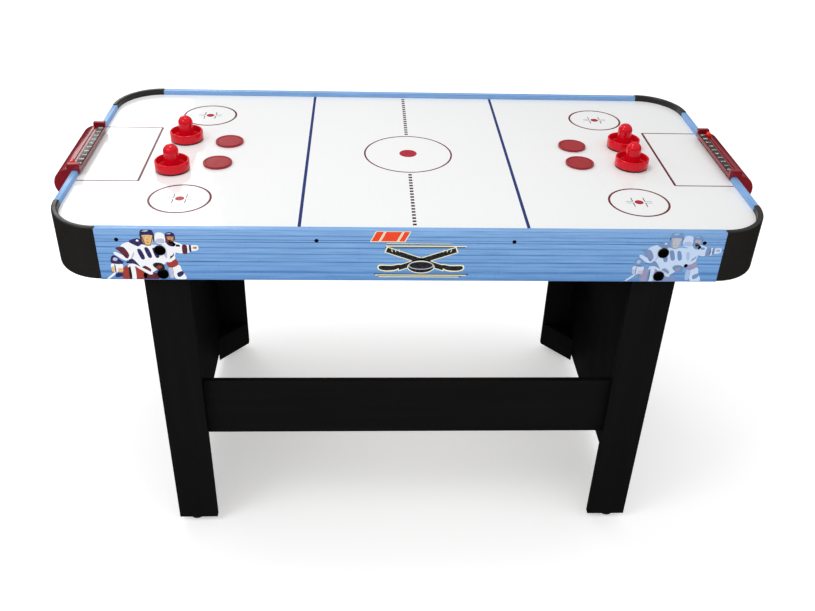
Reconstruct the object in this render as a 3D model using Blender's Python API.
"""Air hockey table: a small floor-standing table with two goal boxes, four pushers and four pucks.

Metres, +Z up. X runs along the table, -Y is the long side that the players' artwork faces.
The origin is on the floor, under the middle of the table.
"""
import math

import bmesh
import bpy
from mathutils import Matrix, Vector

# ---- driving dimensions ----
LENGTH = 1.226            # over the two corner caps
WIDTH = 0.638
RIM_HEIGHT = 0.685        # floor to the top of the rails
APRON_HEIGHT = 0.096
RAIL = 0.012              # thickness of the long apron boards
END_RAIL = 0.010          # and of the end ones
CORNER_X = 0.090          # how far a corner cap reaches along the length
CORNER_Y = 0.0985         # and along the end
CAP_RISE = 0.002          # a corner cap's lip stands this far above the rails
FIELD_DROP = 0.009        # playing surface below the rails' top
FIELD_THICK = 0.004
CHAMBER_DEPTH = 0.012     # air space under the playing surface
PANEL_THICK = 0.003
GAP = 0.0003              # clearance between pieces that touch on the real table

LEG_BOARD = 0.012
LEG_OUTER_X = 0.4567      # outer edge of a leg board, from the middle
LEG_WIDTH = 0.0757
LEG_CLEAR = 0.012         # floor to the bottom of the leg boards
END_PANEL = 0.010
END_PANEL_CLEAR = 0.028
STRETCHER_Z = (0.229, 0.352)
STRETCHER_HALF = 0.444
BLOCK_HEIGHT = 0.063
BLOCK_REACH = 0.0722      # how far a corner block runs along the end panel
FOOT_AT = (0.425, 0.2865)
FOOT_RADIUS = 0.0135
FOOT_STEM = 0.003

BOLT_X = 0.42
BOLT_DROPS = (0.039, 0.0845)   # below the rails' top
BOLT_RADIUS = 0.003
BOLT_HEAD = 0.0095

GOAL_HALF = 0.103         # half the length of a goal box
MOUTH_HALF = 0.0985       # half the width of the gap cut in the end rail
MOUTH_FLOOR = 0.0107      # below the rails' top
DECK = 0.0045             # the score deck, above the rails' top
DECK_HALF = 0.095
SLIDER_AT = 0.082         # a score slider's place at rest, from the middle

PUSHER_RADIUS = 0.0317
FELT = 0.002
PUCK_RADIUS = 0.0270
PUCK_THICK = 0.0045
PUSHERS = {"left_near": (-0.4384, -0.0723), "left_far": (-0.4337, 0.0645),
           "right_near": (0.4286, -0.0388), "right_far": (0.4334, 0.0512)}
PUCKS = {"left_near": (-0.3594, -0.0469), "left_far": (-0.3490, 0.0522),
         "right_near": (0.3300, -0.0318), "right_far": (0.3300, 0.0490)}

AIR_HOLE = 0.0012
AIR_HOLES = (13, 5)       # along X and Y
AIR_PITCH = 0.088
FAN_HALF = 0.048          # half the side of the square blower housing
FAN_BORE = 0.0425
FAN_DEPTH = 0.0465
SWITCH_AT = 0.25          # along the rear apron
INLET_AT = 0.285
SWITCH_DROP = 0.054
ROCKER_TILT = math.radians(7)

# ---- levels and faces worked out from them ----
APRON_BOTTOM = RIM_HEIGHT - APRON_HEIGHT
FIELD_TOP = RIM_HEIGHT - FIELD_DROP
FIELD_BOTTOM = FIELD_TOP - FIELD_THICK
PANEL_TOP = FIELD_BOTTOM - CHAMBER_DEPTH
PANEL_BOTTOM = PANEL_TOP - PANEL_THICK
HALF_X = LENGTH / 2
HALF_Y = WIDTH / 2
SEAM_X = HALF_X - CORNER_X
SEAM_Y = HALF_Y - CORNER_Y
LEG_TOP = PANEL_BOTTOM - 0.0005
LEG_FRONT = HALF_Y - RAIL - 0.0005
LEG_BACK = LEG_FRONT - LEG_BOARD
SWITCH_Z = RIM_HEIGHT - SWITCH_DROP

SIDES = {"left": -1, "right": 1}
FACES = {"front": -1, "rear": 1}


# ---- materials ----
def make_material(name, colour, roughness, metallic=0.0):
    material = bpy.data.materials.new(name)
    material.use_nodes = True
    shader = material.node_tree.nodes["Principled BSDF"]
    shader.inputs["Base Color"].default_value = (*colour, 1.0)
    shader.inputs["Roughness"].default_value = roughness
    shader.inputs["Metallic"].default_value = metallic
    material.diffuse_color = (*colour, 1.0)
    return material


def make_materials():
    return {
        "field": make_material("field", (0.90, 0.91, 0.92), 0.15),
        "hardboard": make_material("hardboard", (0.28, 0.18, 0.10), 0.80),
        "blue_apron": make_material("blue_apron", (0.20, 0.42, 0.78), 0.35),
        "black_cap": make_material("black_cap", (0.012, 0.012, 0.014), 0.40),
        "black_leg": make_material("black_leg", (0.010, 0.010, 0.011), 0.45),
        "goal_red": make_material("goal_red", (0.35, 0.012, 0.015), 0.22),
        "score_strip": make_material("score_strip", (0.02, 0.02, 0.02), 0.40),
        "slider_red": make_material("slider_red", (0.75, 0.02, 0.02), 0.30),
        "pusher_red": make_material("pusher_red", (0.70, 0.010, 0.025), 0.18),
        "puck_red": make_material("puck_red", (0.50, 0.030, 0.040), 0.40),
        "felt": make_material("felt", (0.010, 0.010, 0.010), 0.95),
        "foot_black": make_material("foot_black", (0.015, 0.015, 0.015), 0.50),
        "bolt_black": make_material("bolt_black", (0.020, 0.020, 0.022), 0.35, 0.8),
        "fan_grey": make_material("fan_grey", (0.06, 0.06, 0.065), 0.45),
        "motor_steel": make_material("motor_steel", (0.55, 0.56, 0.58), 0.30, 1.0),
    }


# ---- shapes ----
def add_object(name, mesh_builder, material, location=(0, 0, 0)):
    """Turn a bmesh into a named object with outward faces, shaded smooth between sharp edges."""
    bmesh.ops.recalc_face_normals(mesh_builder, faces=mesh_builder.faces)
    mesh = bpy.data.meshes.new(name)
    mesh_builder.to_mesh(mesh)
    mesh_builder.free()
    mesh.shade_smooth()
    mesh.set_sharp_from_angle(angle=math.radians(40))
    if material is not None:
        mesh.materials.append(material)
    obj = bpy.data.objects.new(name, mesh)
    obj.location = location
    bpy.context.scene.collection.objects.link(obj)
    return obj


def box_mesh(builder, low, high):
    low, high = Vector(low), Vector(high)
    place = Matrix.Translation((low + high) / 2) @ Matrix.Diagonal((*(high - low), 1.0))
    bmesh.ops.create_cube(builder, size=1.0, matrix=place)


def slab_mesh(builder, outline, along):
    """Close a flat outline of 3-D points and push it along a vector."""
    face = builder.faces.new([builder.verts.new(point) for point in outline])
    grown = bmesh.ops.extrude_face_region(builder, geom=[face])
    moved = [item for item in grown["geom"] if isinstance(item, bmesh.types.BMVert)]
    bmesh.ops.translate(builder, verts=moved, vec=Vector(along))


def turned_mesh(builder, profile, segments, turn=Matrix.Identity(4)):
    """Turn a closed (radius, height) profile about Z; a radius of 0 is a point on the axis."""
    rings = []
    for radius, height in profile:
        count = segments if radius > 0 else 1
        rings.append([builder.verts.new((radius * math.cos(2 * math.pi * i / segments),
                                         radius * math.sin(2 * math.pi * i / segments), height))
                      for i in range(count)])
    for lower, upper in zip(rings, rings[1:] + rings[:1]):
        if len(lower) == 1 and len(upper) == 1:
            continue
        for i in range(segments):
            corners = [lower[i % len(lower)], lower[(i + 1) % len(lower)],
                       upper[(i + 1) % len(upper)], upper[i % len(upper)]]
            builder.faces.new(list(dict.fromkeys(corners)))
    bmesh.ops.transform(builder, matrix=turn, verts=builder.verts)


def box(name, low, high, material, location=(0, 0, 0)):
    builder = bmesh.new()
    box_mesh(builder, low, high)
    return add_object(name, builder, material, location)


def slab(name, outline, along, material, location=(0, 0, 0)):
    builder = bmesh.new()
    slab_mesh(builder, outline, along)
    return add_object(name, builder, material, location)


def turned(name, profile, material, location, segments=18, turn=Matrix.Identity(4)):
    builder = bmesh.new()
    turned_mesh(builder, profile, segments, turn)
    return add_object(name, builder, material, location)


def combine(target, tool, operation):
    """Boolean target with a hidden tool object, which the finished model leaves out."""
    tool.hide_render = True
    tool.display_type = "WIRE"
    modifier = target.modifiers.new(tool.name, "BOOLEAN")
    modifier.operation = operation
    modifier.solver = "EXACT"
    modifier.object = tool


def table_outline(inset, arc_steps=8):
    """The plan outline of the space between the rails, anticlockwise, set in from their inner faces."""
    reach_x, reach_y = CORNER_X - END_RAIL - inset, CORNER_Y - RAIL - inset
    points = []
    for corner, (sign_x, sign_y) in enumerate(((1, 1), (-1, 1), (-1, -1), (1, -1))):
        for step in range(arc_steps + 1):
            angle = math.pi / 2 * (corner + step / arc_steps)
            points.append((sign_x * SEAM_X + reach_x * math.cos(angle),
                           sign_y * SEAM_Y + reach_y * math.sin(angle)))
    return points


def at_height(points, height):
    return [(x, y, height) for x, y in points]


def round_hole(builder, centre, radius, depth, axis="Z", segments=12):
    turn = Matrix.Rotation(math.pi / 2, 4, "X") if axis == "Y" else Matrix.Identity(4)
    bmesh.ops.create_cone(builder, cap_ends=True, segments=segments, radius1=radius, radius2=radius,
                          depth=depth, matrix=Matrix.Translation(centre) @ turn)


def arc(centre, radii, start, end, steps):
    """Points on an ellipse from one angle to another, in degrees."""
    angles = [math.radians(start + (end - start) * step / steps) for step in range(steps + 1)]
    return [(centre[0] + radii[0] * math.cos(a), centre[1] + radii[1] * math.sin(a)) for a in angles]


# ---- the table top ----
def make_playfield(materials):
    field = slab("playfield", at_height(table_outline(0.0004), FIELD_BOTTOM),
                 (0, 0, FIELD_THICK), materials["field"])
    drill = bmesh.new()
    for i in range(AIR_HOLES[0]):
        for j in range(AIR_HOLES[1]):
            x = (i - (AIR_HOLES[0] - 1) / 2) * AIR_PITCH
            y = (j - (AIR_HOLES[1] - 1) / 2) * AIR_PITCH * 1.2
            round_hole(drill, (x, y, FIELD_BOTTOM + FIELD_THICK / 2), AIR_HOLE, 3 * FIELD_THICK, segments=6)
    combine(field, add_object("cut_air_holes", drill, None), "DIFFERENCE")


def make_chamber(materials):
    """The ring of battens and the hardboard panel that close the air space under the field."""
    outer, inner = table_outline(0.0004), table_outline(0.0030)
    low, high = PANEL_TOP + GAP, FIELD_BOTTOM - GAP
    builder = bmesh.new()
    loops = [[builder.verts.new((x, y, z)) for x, y in points]
             for points, z in ((outer, low), (outer, high), (inner, high), (inner, low))]
    for first, second in zip(loops, loops[1:] + loops[:1]):
        for i in range(len(first)):
            k = (i + 1) % len(first)
            builder.faces.new((first[i], first[k], second[k], second[i]))
    add_object("chamber_frame", builder, materials["hardboard"])
    panel = slab("bottom_panel", at_height(table_outline(0.0004), PANEL_BOTTOM),
                 (0, 0, PANEL_THICK), materials["hardboard"])
    throat = bmesh.new()
    round_hole(throat, (0, 0, PANEL_BOTTOM), 0.040, 0.02, segments=24)
    combine(panel, add_object("cut_throat", throat, None), "DIFFERENCE")


def make_long_aprons(materials):
    for face, sign in FACES.items():
        outside, inside = sign * HALF_Y, sign * (HALF_Y - RAIL)
        apron = box("apron_" + face, (-SEAM_X + GAP, min(outside, inside), APRON_BOTTOM),
                    (SEAM_X - GAP, max(outside, inside), RIM_HEIGHT), materials["blue_apron"])
        drill = bmesh.new()
        for x in (-BOLT_X, BOLT_X):
            for drop in BOLT_DROPS:
                round_hole(drill, (x, sign * (HALF_Y - RAIL / 2), RIM_HEIGHT - drop),
                           BOLT_RADIUS + 0.0004, 3 * RAIL, "Y")
        if face == "rear":
            box_mesh(drill, (SWITCH_AT - 0.0099, inside - RAIL, SWITCH_Z - 0.0069),
                     (SWITCH_AT + 0.0099, outside + RAIL, SWITCH_Z + 0.0069))
            round_hole(drill, (INLET_AT, outside, SWITCH_Z), 0.0050, 4 * RAIL, "Y")
        combine(apron, add_object("cut_apron_" + face, drill, None), "DIFFERENCE")


def make_end_aprons(materials):
    """Each end board has a gap in its top edge, through which the puck leaves the field."""
    ends = SEAM_Y - GAP
    outline = [(-ends, APRON_BOTTOM), (ends, APRON_BOTTOM), (ends, RIM_HEIGHT), (MOUTH_HALF, RIM_HEIGHT),
               (MOUTH_HALF, RIM_HEIGHT - MOUTH_FLOOR), (-MOUTH_HALF, RIM_HEIGHT - MOUTH_FLOOR),
               (-MOUTH_HALF, RIM_HEIGHT), (-ends, RIM_HEIGHT)]
    for side, sign in SIDES.items():
        points = [(sign * HALF_X, y, z) for y, z in outline]
        slab("apron_" + side, points, (-sign * END_RAIL, 0, 0), materials["blue_apron"])


def make_corner_caps(materials):
    """Moulded corners with a rounded lip, and two lugs each that reach behind the aprons."""
    outline = (arc((0, 0), (CORNER_X, CORNER_Y), 0, 90, 10)
               + arc((0, 0), (CORNER_X - END_RAIL, CORNER_Y - RAIL), 90, 0, 10))

    def lug(rail):
        back, root = rail + GAP, rail + GAP + 0.003
        return [(-0.018, back), (-0.018, root), (0.012, root), (0.012, 0.008), (0.0008, 0.008), (0.0008, back)]

    for side, sign_x in SIDES.items():
        for face, sign_y in FACES.items():
            def plan(point_x, point_y):
                return sign_x * (SEAM_X + point_x), sign_y * (SEAM_Y + point_y)
            builder = bmesh.new()
            slab_mesh(builder, at_height([plan(x, y) for x, y in outline], APRON_BOTTOM),
                      (0, 0, APRON_HEIGHT + CAP_RISE))
            top = RIM_HEIGHT + CAP_RISE
            rim = [e for e in builder.edges if all(abs(v.co.z - top) < 1e-6 for v in e.verts)]
            bmesh.ops.bevel(builder, geom=rim, offset=0.003, segments=2, affect="EDGES", profile=0.5)
            cap = add_object(f"corner_cap_{side}_{face}", builder, materials["black_cap"])
            low, rise = APRON_BOTTOM + 0.010, (0, 0, APRON_HEIGHT - 0.045)
            lugs = bmesh.new()
            slab_mesh(lugs, at_height([plan(s, CORNER_Y - t) for s, t in lug(RAIL)], low), rise)
            slab_mesh(lugs, at_height([plan(CORNER_X - t, s) for s, t in lug(END_RAIL)], low), rise)
            combine(cap, add_object(f"lugs_{side}_{face}", lugs, None), "UNION")


# ---- the goals and their score counters ----
def end_section(side_sign, points, y):
    """Section points (out from the table's end, up from the rails' top) placed at one end."""
    return [(side_sign * (HALF_X + out), y, RIM_HEIGHT + up) for out, up in points]


def end_box(builder, side_sign, out, up, half):
    xs = sorted(side_sign * (HALF_X + value) for value in out)
    box_mesh(builder, (xs[0], -half, RIM_HEIGHT + up[0]), (xs[1], half, RIM_HEIGHT + up[1]))


def make_goals(materials):
    """A box hung outside each end rail: a bridge over the mouth, a lined mouth, a pocket and a hand opening."""
    barrel, radius, wall = (0.0065, -0.0265), 0.0290, 0.0022
    inner = radius - wall
    shell = ([(-0.0150, -0.0030), (-0.0150, 0.0110), (-0.0135, 0.0125), (0.0075, 0.0125), (0.0085, 0.0110)]
             + arc(barrel, (radius, radius), 86, -90, 12)
             + [(GAP, barrel[1] - radius), (GAP, GAP), (-END_RAIL - GAP, GAP), (-END_RAIL - GAP, -0.0030)])
    pocket = arc(barrel, (inner, inner), -90, 90, 10) + [(GAP + wall, 0.0), (GAP + wall, barrel[1] - inner)]
    sill, cheek = -MOUTH_FLOOR + GAP, MOUTH_HALF - GAP
    for side, sign in SIDES.items():
        goal = slab("goal_housing_" + side, end_section(sign, shell, -GOAL_HALF),
                    (0, 2 * GOAL_HALF, 0), materials["goal_red"])
        liner = slab("mouth_liner_" + side, [(sign * (HALF_X - END_RAIL), y, RIM_HEIGHT + up) for y, up in (
            (-cheek, sill), (cheek, sill), (cheek, 0.002), (cheek - 0.0012, 0.002), (cheek - 0.0012, sill + 0.0011),
            (-cheek + 0.0012, sill + 0.0011), (-cheek + 0.0012, 0.002), (-cheek, 0.002))],
            (sign * (END_RAIL + 0.0010), 0, 0), None)
        combine(goal, liner, "UNION")
        hollow = slab("cut_pocket_" + side, end_section(sign, pocket, -GOAL_HALF + wall),
                      (0, 2 * (GOAL_HALF - wall), 0), None)
        combine(goal, hollow, "DIFFERENCE")
        cuts = {"deck": ((-0.020, 0.0100), (DECK, 0.030), DECK_HALF),
                "groove": ((0.0025, 0.0045), (DECK - 0.0019, 0.020), DECK_HALF),
                "mouth": ((-0.001, 0.0040), (sill + 0.0011, -0.0008), MOUTH_HALF - 0.0020),
                "hand": ((0.020, 0.060), (-0.040, -0.012), 0.055)}
        for cut, (out, up, half) in cuts.items():
            tool = bmesh.new()
            end_box(tool, sign, out, up, half)
            combine(goal, add_object(f"cut_{cut}_{side}", tool, None), "DIFFERENCE")


def make_counters(materials):
    """A numbered strip on each goal's deck, and a slider that the player moves along it."""
    rail_out = 0.0035
    section = [(-0.0036, 0.0003), (-0.0006, 0.0003), (-0.0006, -0.0014), (0.0006, -0.0014), (0.0006, 0.0003),
               (0.0038, 0.0003), (0.0038, 0.0055), (0.0023, 0.0070), (-0.0022, 0.0070), (-0.0036, 0.0055)]
    for side, sign in SIDES.items():
        strip = bmesh.new()
        end_box(strip, sign, (-0.0140, -0.0027), (DECK + GAP, DECK + GAP + 0.0012), DECK_HALF - 0.0020)
        add_object("score_strip_" + side, strip, materials["score_strip"])
        place = (sign * (HALF_X + rail_out), sign * SLIDER_AT, RIM_HEIGHT + DECK)
        outline = [(sign * out, -0.0065, up) for out, up in section]
        slider = slab("score_slider_" + side, outline, (0, 0.013, 0), materials["slider_red"], place)
        pointer = [(-sign * 0.0025, -0.003, 0.0019), (-sign * 0.0025, 0.003, 0.0019), (-sign * 0.0095, 0, 0.0019)]
        tool = slab("pointer_" + side, pointer, (0, 0, 0.0014), None, place)
        combine(slider, tool, "UNION")


# ---- the legs ----
def make_leg_boards(materials):
    for side, sign_x in SIDES.items():
        for face, sign_y in FACES.items():
            xs = sorted((sign_x * LEG_OUTER_X, sign_x * (LEG_OUTER_X - LEG_WIDTH)))
            ys = sorted((sign_y * LEG_FRONT, sign_y * LEG_BACK))
            board = box(f"leg_board_{side}_{face}", (xs[0], ys[0], LEG_CLEAR), (xs[1], ys[1], LEG_TOP),
                        materials["black_leg"])
            drill = bmesh.new()
            for drop in BOLT_DROPS:
                round_hole(drill, (sign_x * BOLT_X, sign_y * LEG_FRONT, RIM_HEIGHT - drop),
                           BOLT_RADIUS + 0.0004, 4 * LEG_BOARD, "Y")
            combine(board, add_object(f"cut_board_{side}_{face}", drill, None), "DIFFERENCE")


def make_end_panels(materials):
    for side, sign in SIDES.items():
        xs = sorted((sign * LEG_OUTER_X, sign * (LEG_OUTER_X - END_PANEL)))
        reach = LEG_BACK - GAP
        box("end_panel_" + side, (xs[0], -reach, END_PANEL_CLEAR), (xs[1], reach, LEG_TOP),
            materials["black_leg"])


def make_stretchers(materials):
    for face, sign in FACES.items():
        ys = sorted((sign * (LEG_BACK - GAP), sign * (LEG_BACK - GAP - LEG_BOARD)))
        box("stretcher_" + face, (-STRETCHER_HALF, ys[0], STRETCHER_Z[0]),
            (STRETCHER_HALF, ys[1], STRETCHER_Z[1]), materials["black_leg"])


def make_corner_blocks(materials):
    """Three-cornered blocks at the legs' feet, bored for the levelling feet."""
    corner_x, corner_y = LEG_OUTER_X - END_PANEL - GAP, LEG_BACK - GAP
    outline = [(LEG_OUTER_X - LEG_WIDTH + 0.001, corner_y), (corner_x, corner_y),
               (corner_x, corner_y - BLOCK_REACH)]
    for side, sign_x in SIDES.items():
        for face, sign_y in FACES.items():
            points = [(sign_x * x, sign_y * y) for x, y in outline]
            block = slab(f"corner_block_{side}_{face}", at_height(points, LEG_CLEAR),
                         (0, 0, BLOCK_HEIGHT), materials["black_leg"])
            drill = bmesh.new()
            centre = (sign_x * FOOT_AT[0], sign_y * FOOT_AT[1], LEG_CLEAR + BLOCK_HEIGHT / 2)
            round_hole(drill, centre, FOOT_STEM + 0.0004, 2 * BLOCK_HEIGHT)
            combine(block, add_object(f"cut_block_{side}_{face}", drill, None), "DIFFERENCE")


def make_levelling_feet(materials):
    top = LEG_CLEAR - GAP
    profile = [(0, 0), (FOOT_RADIUS - 0.001, 0), (FOOT_RADIUS, 0.001), (FOOT_RADIUS, top - 0.0015),
               (FOOT_RADIUS - 0.0015, top), (FOOT_STEM, top), (FOOT_STEM, 0.060), (0, 0.060)]
    for side, sign_x in SIDES.items():
        for face, sign_y in FACES.items():
            turned(f"levelling_foot_{side}_{face}", profile, materials["foot_black"],
                   (sign_x * FOOT_AT[0], sign_y * FOOT_AT[1], 0), segments=12)


def make_leg_bolts(materials):
    """Button-head bolts through the long aprons into the leg boards, with a socket in the head."""
    shaft_end = -(RAIL + LEG_BOARD + 0.0035)
    profile = [(0, shaft_end), (BOLT_RADIUS, shaft_end), (BOLT_RADIUS, GAP), (BOLT_HEAD, GAP),
               (BOLT_HEAD, 0.0012), (0.0070, 0.0030), (0.0030, 0.0035), (0.0026, 0.0012), (0, 0.0012)]
    for side, sign_x in SIDES.items():
        for face, sign_y in FACES.items():
            turn = Matrix.Rotation(-sign_y * math.pi / 2, 4, "X")
            for name, drop in zip(("upper", "lower"), BOLT_DROPS):
                turned(f"leg_bolt_{side}_{face}_{name}", profile, materials["bolt_black"],
                       (sign_x * BOLT_X, sign_y * HALF_Y, RIM_HEIGHT - drop), 12, turn)


# ---- pushers and pucks ----
def make_pushers(materials):
    base = FELT + 2 * GAP
    rim, wall, knob, dome = PUSHER_RADIUS, 0.0195, 0.0141, 0.0355
    profile = ([(0.0125, base), (rim - 0.001, base), (rim, base + 0.001), (rim, wall - 0.001),
                (rim - 0.0008, wall), (rim - 0.0028, wall), (rim - 0.0038, wall - 0.002),
                (rim - 0.0045, 0.0085), (0.0230, 0.0062), (0.0165, 0.0062), (0.0150, 0.0085),
                (0.0138, 0.0290)]
               + arc((0, dome), (knob, knob), 0, 70, 3) + [(0, dome + knob)]
               + [(0, dome + 0.0110), (0.0090, dome + 0.0075), (0.0112, dome), (0.0125, 0.0090)])
    pad = [(0.0140, GAP), (rim - 0.0006, GAP), (rim - 0.0006, GAP + FELT), (0.0140, GAP + FELT)]
    for name, (x, y) in PUSHERS.items():
        turned("pusher_" + name, profile, materials["pusher_red"], (x, y, FIELD_TOP))
        turned("pusher_felt_" + name, pad, materials["felt"], (x, y, FIELD_TOP))


def make_pucks(materials):
    edge, top = PUCK_RADIUS, PUCK_THICK + GAP
    profile = [(0, GAP), (edge - 0.001, GAP), (edge, GAP + 0.001), (edge, top - 0.0008), (edge - 0.0008, top),
               (edge - 0.003, top), (edge - 0.004, top - 0.0007), (0, top - 0.0007)]
    for name, (x, y) in PUCKS.items():
        turned("puck_" + name, profile, materials["puck_red"], (x, y, FIELD_TOP))


# ---- the blower under the table ----
def make_blower(materials):
    top = PANEL_BOTTOM - GAP
    bottom = top - FAN_DEPTH
    housing = box("blower_housing", (-FAN_HALF, -FAN_HALF, bottom), (FAN_HALF, FAN_HALF, top),
                  materials["fan_grey"])
    bore = bmesh.new()
    round_hole(bore, (0, 0, bottom), FAN_BORE, 3 * FAN_DEPTH, segments=24)
    combine(housing, add_object("cut_fan_bore", bore, None), "DIFFERENCE")
    for name, half_x, half_y in (("spider_x", 0.045, 0.0025), ("spider_y", 0.0025, 0.045),
                                 ("spider_hub", 0.014, 0.014)):
        arm = box(name, (-half_x, -half_y, bottom + 0.0005), (half_x, half_y, bottom + 0.0035), None)
        combine(housing, arm, "UNION")

    seat = bottom + 0.0035 + GAP
    motor_top, shaft_top = seat + 0.016, seat + 0.032
    turned("blower_motor", [(0, seat), (0.0155, seat), (0.0160, seat + 0.001), (0.0160, motor_top - 0.001),
                            (0.0150, motor_top), (0.0025, motor_top), (0.0025, shaft_top), (0, shaft_top)],
           materials["motor_steel"], (0, 0, 0), 16)
    make_impeller(materials, motor_top + 0.001, shaft_top)

    guard = box("blower_guard", (-FAN_HALF, -FAN_HALF, bottom - 0.0018), (FAN_HALF, FAN_HALF, bottom - GAP),
                materials["fan_grey"])
    slots = bmesh.new()
    for i in range(7):
        y = (i - 3) * 0.0115
        half = math.sqrt(max(FAN_BORE ** 2 - y ** 2, 0)) - 0.002
        box_mesh(slots, (-half, y - 0.0035, bottom - 0.01), (half, y + 0.0035, bottom + 0.01))
    combine(guard, add_object("cut_guard_slots", slots, None), "DIFFERENCE")


def make_impeller(materials, low, shaft_top):
    hub_top = shaft_top + 0.0025
    hub = turned("blower_impeller", [(0.0028, low), (0.0170, low), (0.0170, hub_top - 0.002),
                                     (0.0150, hub_top), (0, hub_top), (0, shaft_top + GAP),
                                     (0.0028, shaft_top + GAP)], materials["fan_grey"], (0, 0, 0), 14)
    blades = bmesh.new()
    for i in range(7):
        blade = bmesh.new()
        box_mesh(blade, (0.0160, -0.0085, -0.0007), (0.0400, 0.0085, 0.0007))
        pitch = Matrix.Rotation(math.radians(38), 4, "X")
        place = Matrix.Translation((0, 0, (low + hub_top) / 2))
        spin = Matrix.Rotation(2 * math.pi * i / 7, 4, "Z")
        bmesh.ops.transform(blade, matrix=place @ spin @ pitch, verts=blade.verts)
        part = bpy.data.meshes.new("blade")
        blade.to_mesh(part)
        blade.free()
        blades.from_mesh(part)
        bpy.data.meshes.remove(part)
    combine(hub, add_object("blades", blades, None), "UNION")


# ---- the switch and the power inlet in the rear apron ----
def make_switch(materials):
    face = HALF_Y + GAP
    bezel = box("switch_bezel", (-0.0095, -0.0160, -0.0065), (0.0095, 0.0010, 0.0065),
                materials["foot_black"], (SWITCH_AT, face, SWITCH_Z))
    flange = box("switch_flange", (-0.0112, 0, -0.0082), (0.0112, 0.0015, 0.0082), None,
                 (SWITCH_AT, face, SWITCH_Z))
    combine(bezel, flange, "UNION")
    well = box("cut_switch_well", (-0.0080, -0.0130, -0.0050), (0.0080, 0.0100, 0.0050), None,
               (SWITCH_AT, face, SWITCH_Z))
    combine(bezel, well, "DIFFERENCE")
    section = [(-0.0070, 0.0035), (-0.0070, -0.0010), (-0.0025, -0.0060), (0.0025, -0.0060),
               (0.0070, -0.0010), (0.0070, 0.0035), (0, 0.0022)]
    tilt = Matrix.Rotation(ROCKER_TILT, 4, "Z")
    outline = [tilt @ Vector((x, y, -0.0046)) for x, y in section]
    slab("switch_rocker", outline, (0, 0, 0.0092), materials["slider_red"],
         (SWITCH_AT, HALF_Y - 0.0010, SWITCH_Z))


def make_inlet(materials):
    profile = [(0, -0.0150), (0.0045, -0.0150), (0.0045, GAP), (0.0065, GAP), (0.0065, 0.0018),
               (0.0060, 0.0022), (0.0030, 0.0022), (0.0030, -0.0100), (0.0009, -0.0100), (0.0009, -0.0010),
               (0, -0.0005)]
    turned("power_inlet", profile, materials["foot_black"], (INLET_AT, HALF_Y, SWITCH_Z), 12,
           Matrix.Rotation(-math.pi / 2, 4, "X"))


def main():
    for old in list(bpy.data.objects):
        bpy.data.objects.remove(old, do_unlink=True)
    materials = make_materials()
    for make in (make_playfield, make_chamber, make_long_aprons, make_end_aprons, make_corner_caps,
                 make_goals, make_counters, make_leg_boards, make_end_panels, make_stretchers,
                 make_corner_blocks, make_levelling_feet, make_leg_bolts, make_pushers, make_pucks,
                 make_blower, make_switch, make_inlet):
        make(materials)


main()
